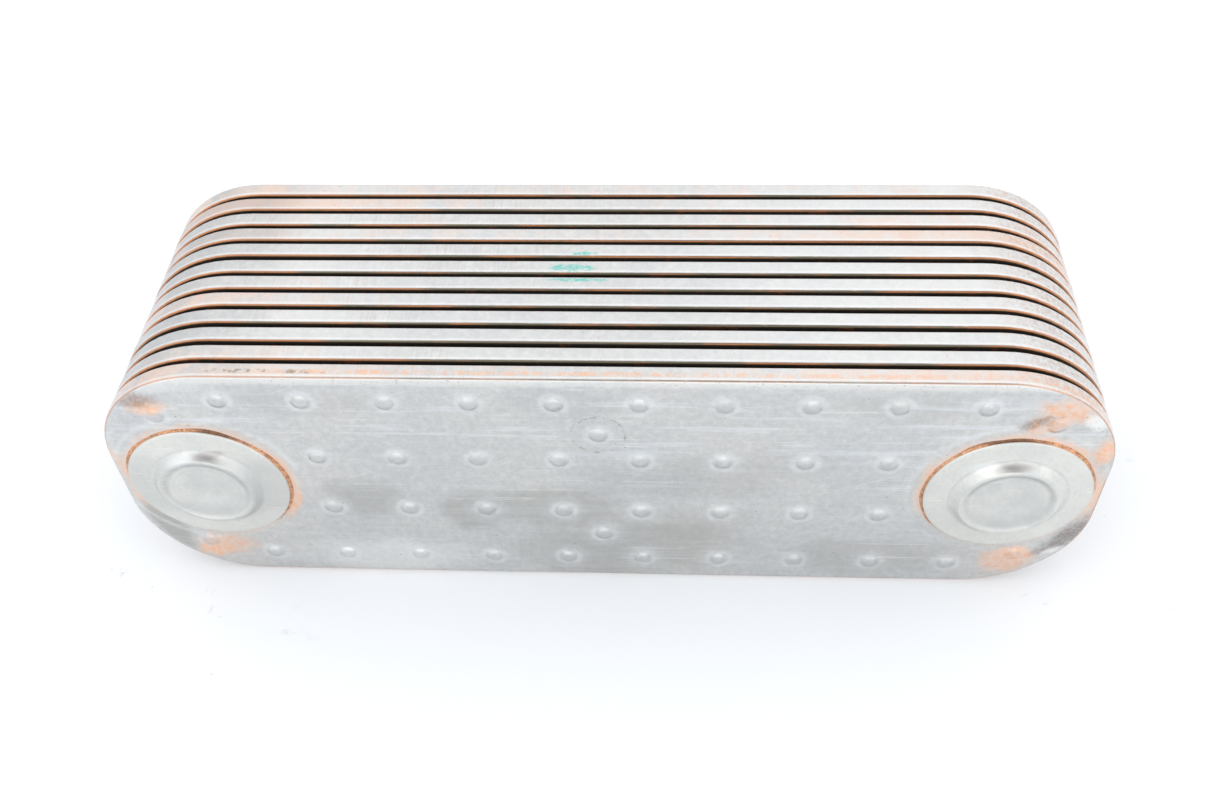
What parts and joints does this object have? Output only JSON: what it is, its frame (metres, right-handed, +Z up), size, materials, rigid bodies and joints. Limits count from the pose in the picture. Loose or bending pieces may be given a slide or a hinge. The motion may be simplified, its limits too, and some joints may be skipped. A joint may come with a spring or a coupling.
{
  "type": "brazed plate heat exchanger core",
  "caption": "Brazed stack of flat steel plate elements with dimpled faces, two blind caps in front and two flanged ports behind; cools oil with coolant.",
  "frame": {"origin": "under the middle of the whole box, on the surface that the rims stand on", "axes": "+X along the plates towards the right-hand port seen from the capped front, +Y through the stack from the capped front to the flanged back, +Z up"},
  "size_m": [0.303, 0.101, 0.096],
  "materials": {
    "tray_steel": "drawn steel with copper braze stains",
    "cover_steel": "pressed steel with copper braze stains",
    "fin_steel": "folded sheet, copper washed",
    "cap_steel": "satin pressed steel",
    "flange_steel": "machined",
    "seal_rubber": "moulded"
  },
  "bodies": {
    "root": {"tray_shell_01": "tray_steel", "tray_shell_02": "tray_steel", "tray_shell_03": "tray_steel", "tray_shell_04": "tray_steel", "tray_shell_05": "tray_steel", "tray_shell_06": "tray_steel", "tray_shell_07": "tray_steel", "tray_shell_08": "tray_steel", "tray_shell_09": "tray_steel", "tray_shell_10": "tray_steel", "tray_shell_11": "tray_steel", "tray_shell_12": "tray_steel", "cover_plate_01": "cover_steel", "cover_plate_02": "cover_steel", "cover_plate_03": "cover_steel", "cover_plate_04": "cover_steel", "cover_plate_05": "cover_steel", "cover_plate_06": "cover_steel", "cover_plate_07": "cover_steel", "cover_plate_08": "cover_steel", "cover_plate_09": "cover_steel", "cover_plate_10": "cover_steel", "cover_plate_11": "cover_steel", "cover_plate_12": "cover_steel", "turbulator_01": "fin_steel", "turbulator_02": "fin_steel", "turbulator_03": "fin_steel", "turbulator_04": "fin_steel", "turbulator_05": "fin_steel", "turbulator_06": "fin_steel", "turbulator_07": "fin_steel", "turbulator_08": "fin_steel", "turbulator_09": "fin_steel", "turbulator_10": "fin_steel", "turbulator_11": "fin_steel", "turbulator_12": "fin_steel", "blind_cap_left": "cap_steel", "blind_cap_right": "cap_steel", "port_flange_left": "flange_steel", "port_flange_right": "flange_steel", "port_seal_left": "seal_rubber", "port_seal_right": "seal_rubber"}
  },
  "joints": []
}
